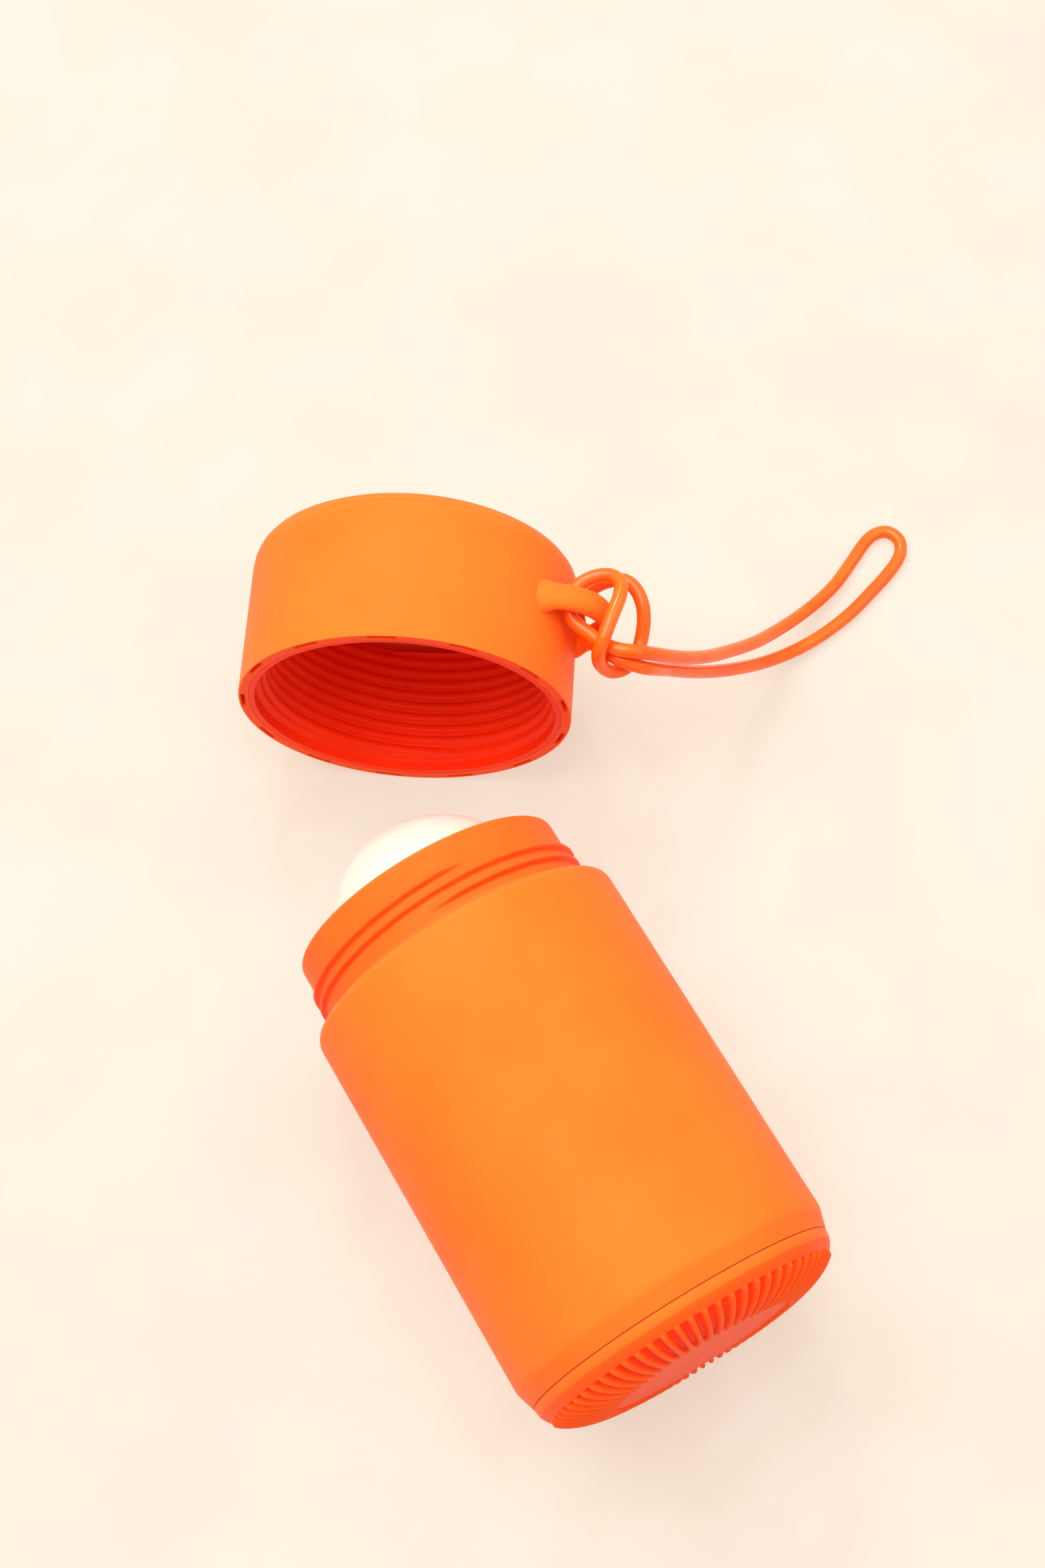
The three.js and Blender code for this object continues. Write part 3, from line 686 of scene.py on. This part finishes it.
def deck_cutters(middle):
    """Rings of points for each slot, screw hole, button hole and port that passes through the deck."""
    low, high = DECK_HEIGHT - DECK_THICKNESS - 1, DECK_HEIGHT + 1
    outlines = []
    for i in range(SOUND_SLOTS):
        start = (i + 0.5) * 2 * math.pi / SOUND_SLOTS
        span, half = math.radians(8), 1.3
        outline = [(middle + half, start + span * t) for t in np.linspace(-1, 1, 13)]
        outline += [(middle + half * math.cos(t), start + span + half / middle * math.sin(t))
                    for t in np.linspace(0, math.pi, 9)[1:-1]]
        outline += [(middle - half, start + span * t) for t in np.linspace(1, -1, 13)]
        outline += [(middle - half * math.cos(t), start - span - half / middle * math.sin(t))
                    for t in np.linspace(0, math.pi, 9)[1:-1]]
        outlines.append([(r * math.cos(a), r * math.sin(a)) for r, a in outline])
    rounds = [(math.radians(t), 1.25) for t in SCREW_TURNS] + [(math.pi / 2, 2.05)]
    for turn, radius in rounds:
        x, z = middle * math.cos(turn), middle * math.sin(turn)
        outlines.append([(x + radius * math.cos(a), z + radius * math.sin(a))
                         for a in np.linspace(0, 2 * math.pi, 32, endpoint=False)])
    port = filleted([(-4.95, -middle - 1.9, 0.9), (4.95, -middle - 1.9, 0.9),
                     (4.95, -middle + 1.9, 0.9), (-4.95, -middle + 1.9, 0.9)], True)
    outlines.append([tuple(point) for point in port])
    return [[[(x, y, z) for x, z in outline] for y in (low, high)] for outline in outlines]


def add_sound_deck():
    middle = (DOME_RADIUS + NECK_BORE) / 2
    low = DECK_HEIGHT - DECK_THICKNESS
    rim = NECK_BORE - GAP
    corners = [(3, low, 0.2), (rim, low, 0.3), (rim, DECK_HEIGHT, 0.5), (3, DECK_HEIGHT, 0.2)]
    deck = lathe("speaker_deck", corners, True, 240, canister_place, orange_body, 1.0)
    for rings in deck_cutters(middle):
        cutter = tube("cutter", rings, False, canister_place, orange_body)
        cut(deck, cutter)
    finished(deck, "canister", "orange_body", "sound_deck")


add_body_sleeve()
add_base()
add_neck_seal()
add_light_dome()
add_sound_deck()


# ---------- cap ----------

def rim_slots(r, y, angle):
    """Short slots sunk into the flat of the rim."""
    middle = CAP_BORE + 1.45
    share = (angle * RIM_SLOTS / (2 * math.pi)) % 1 - 0.5
    along = smooth((0.17 - np.abs(share)) / 0.02)
    across = smooth((0.6 - np.abs(r - middle)) / 0.1)
    return r, np.where(y < 0.4, y + 2.2 * along * across, y)


def cap_tint(r, y, angle):
    """Painted shade, full on the inside faces and in the slots; the flat of the rim takes less of the deeper red.
    """
    inside = (r < CAP_BORE + 0.1) & (y < CAP_HEIGHT - CAP_WALL + 0.1)
    slot = rim_slots(r, y, angle)[1] - y > 0.4
    return np.where(inside | slot, 1.0, np.where((y < 0.2) & (r < CAP_RADIUS - 0.5), 0.66, 0.0))


def lug_rings():
    """An arch out from the cap's side and back, whose roots flare into the wall."""
    wide, deep = LUG_SECTION
    root = CAP_RADIUS * math.cos(LUG_HALF_SPAN) - 2
    reach = LUG_REACH - wide / 2 - root
    span = CAP_RADIUS * math.sin(LUG_HALF_SPAN)
    turn = np.linspace(0, 2 * math.pi, 40, endpoint=False)
    rings = []
    for angle in np.linspace(-math.pi / 2, math.pi / 2, 64):
        centre = np.array((root + reach * math.cos(angle), 0, span * math.sin(angle)))
        outward = np.array((math.cos(angle) * span, 0, math.sin(angle) * reach))
        outward = outward / np.linalg.norm(outward)
        above = math.hypot(centre[0], centre[2]) - CAP_RADIUS
        flare = 1 + 0.34 * (1 - smooth((above + 0.4) / 3.4)) * smooth((above + 2.4) / 1.6)
        across = np.outer(np.cos(turn) * wide / 2 * flare, outward)
        up = np.outer(np.sin(turn) * deep / 2 * flare, (0, 1, 0))
        rings.append(centre + across + up)
    return rings


def add_cap_shell():
    top = CAP_HEIGHT - CAP_WALL
    rim = [(CAP_BORE + 0.85 + 0.075 * i, 0, 0) for i in range(17)]
    corners = [
        (0, top, 0), (CAP_BORE, top, CAP_FILLET - 2), (CAP_BORE, 0, 0.25), *rim, (CAP_RADIUS, 0, 0.7),
        (CAP_RADIUS, CAP_HEIGHT, CAP_FILLET), (0, CAP_HEIGHT, 0),
    ]
    shell = lathe(
        "cap_cover", corners, False, RIM_SLOTS * 40, cap_place, orange_body, 0.8, rim_slots, cap_tint,
    )
    lug = tube("lug", lug_rings(), False, lug_place, orange_body)
    core = [(0, -1, 0), (CAP_RADIUS - 1.2, -1, 0), (CAP_RADIUS - 1.2, CAP_HEIGHT, 0), (0, CAP_HEIGHT, 0)]
    cut(lug, lathe("core", core, False, 180, cap_place, orange_body, 4))
    joined(shell, lug)
    finished(shell, "cap", "orange_body", "cap_shell")


def liner_thread(r, y, angle):
    top = NECK_RIDGE_TOP - CLOSED_GAP + 7.5 * THREAD_PITCH
    raised = thread(angle, y, top, NECK_RIDGE_START, LINER_RIDGE_TURNS, THREAD_PITCH * 0.9, 0.32)
    return np.where(np.abs(r - LINER_ROOT) < 0.01, r - 1.25 * raised, r), y


def add_cap_liner():
    lead, outer = LINER_ROOT + 1.3, CAP_BORE - 0.04
    corners = [
        (lead, 0.15, 0.3), (outer, 0.15, 0.05),
        (outer, LINER_DEPTH - 1.8, 0.3), (LINER_ROOT, LINER_DEPTH, 0.3),
        (LINER_ROOT, 4.4, 0.6), (lead, 3.2, 0.6),
    ]
    liner = lathe("thread_liner", corners, True, 360, cap_place, orange_liner, 0.34, liner_thread)
    finished(liner, "cap", "orange_liner", "cap_liner")


add_cap_shell()
add_cap_liner()


# ---------- what stays as it is in CAD ----------

def soften(piece, width):
    """Rounds a CAD piece's edges, which its own mesh leaves sharp."""
    bevel = piece.modifiers.new("bevel", "BEVEL")
    bevel.width = width * MM
    bevel.segments = 2
    bevel.limit_method = "ANGLE"
    bevel.angle_limit = math.radians(35)
    bevel.harden_normals = True


def dress_cad_nodes():
    dress = {
        black_rubber: ["base_gasket", "driver_surround"],
        steel: ["deck_screw_1", "deck_screw_2", "deck_screw_3", "deck_screw_4", "driver_magnet", "usb_port"],
        board: ["led_board", "main_board", "switch_board"],
        dark_plastic: [
            "driver_basket", "driver_cone", "bulkhead", "battery_tray", "board_rail_1", "board_rail_2",
        ],
        cell_blue: ["battery_cell_1", "battery_cell_2"],
        orange_body: ["power_button"],
    }
    rounded = {"power_button": 0.15, "usb_port": 0.12}
    for material, names in dress.items():
        for name in names:
            piece = frame["nodes"][name]
            piece.data.materials.clear()
            piece.data.materials.append(material)
            if name in rounded or name.startswith("deck_screw"):
                soften(piece, rounded.get(name, 0.08))


dress_cad_nodes()


# ---------- floor and light ----------

def add_floor():
    """A wide pale sheet of paper with a faint mottle, lit from beneath so that shadows on it stay light."""
    color, deep = (0.22, 0.195, 0.17), (0.20, 0.177, 0.154)
    material, shader = new_material("paper", color, Roughness=0.9, Specular_IOR_Level=0.1)
    shader.inputs["Emission Strength"].default_value = 1
    clouds = noise(material, 9, 5)
    link(material, ramp(material, clouds, "Fac", [(0.35, deep), (0.6, color)]), "Color", shader, "Base Color")
    mottle = noise(material, 22, 7)
    glow = ramp(material, mottle, "Fac", [(0.4, (0.65, 0.542, 0.446)), (0.58, (0.68, 0.575, 0.48))])
    link(material, glow, "Color", shader, "Emission Color")
    fibre = noise(material, 500, 6)
    bump = node(material, "ShaderNodeBump")
    bump.inputs["Strength"].default_value = 0.4
    bump.inputs["Distance"].default_value = 0.0002
    link(material, fibre, "Fac", bump, "Height")
    link(material, bump, "Normal", shader, "Normal")
    mesh = bpy.data.meshes.new("floor")
    half = 4
    corners = [(-half, -half, 0), (half, -half, 0), (half, half, 0), (-half, half, 0)]
    mesh.from_pydata(corners, [], [(0, 1, 2, 3)])
    mesh.materials.append(material)
    floor = bpy.data.objects.new("floor", mesh)
    bpy.context.scene.collection.objects.link(floor)


def add_area_light(name, place, size, power, color=(1, 1, 1)):
    data = bpy.data.lights.new(name, "AREA")
    data.shape = "SQUARE"
    data.size = size
    data.energy = power
    data.color = color
    light = bpy.data.objects.new(name, data)
    light.location = place
    light.rotation_euler = (-Vector(place)).to_track_quat("-Z", "Y").to_euler()
    bpy.context.scene.collection.objects.link(light)


def add_lights():
    world = bpy.data.worlds.new("studio")
    world.use_nodes = True
    background = world.node_tree.nodes["Background"]
    background.inputs["Color"].default_value = (1.0, 0.97, 0.93, 1)
    background.inputs["Strength"].default_value = 0.62
    bpy.context.scene.world = world
    add_area_light("key", (-0.25, 0.35, 1.4), 1.3, 27, (1.0, 0.98, 0.95))
    add_area_light("fill", (0.8, -0.4, 1.2), 1.2, 5)
    add_area_light("window", (0.25, 0.85, 1.1), 0.16, 4)
    bpy.context.scene.view_settings.view_transform = "Standard"


add_floor()
add_lights()
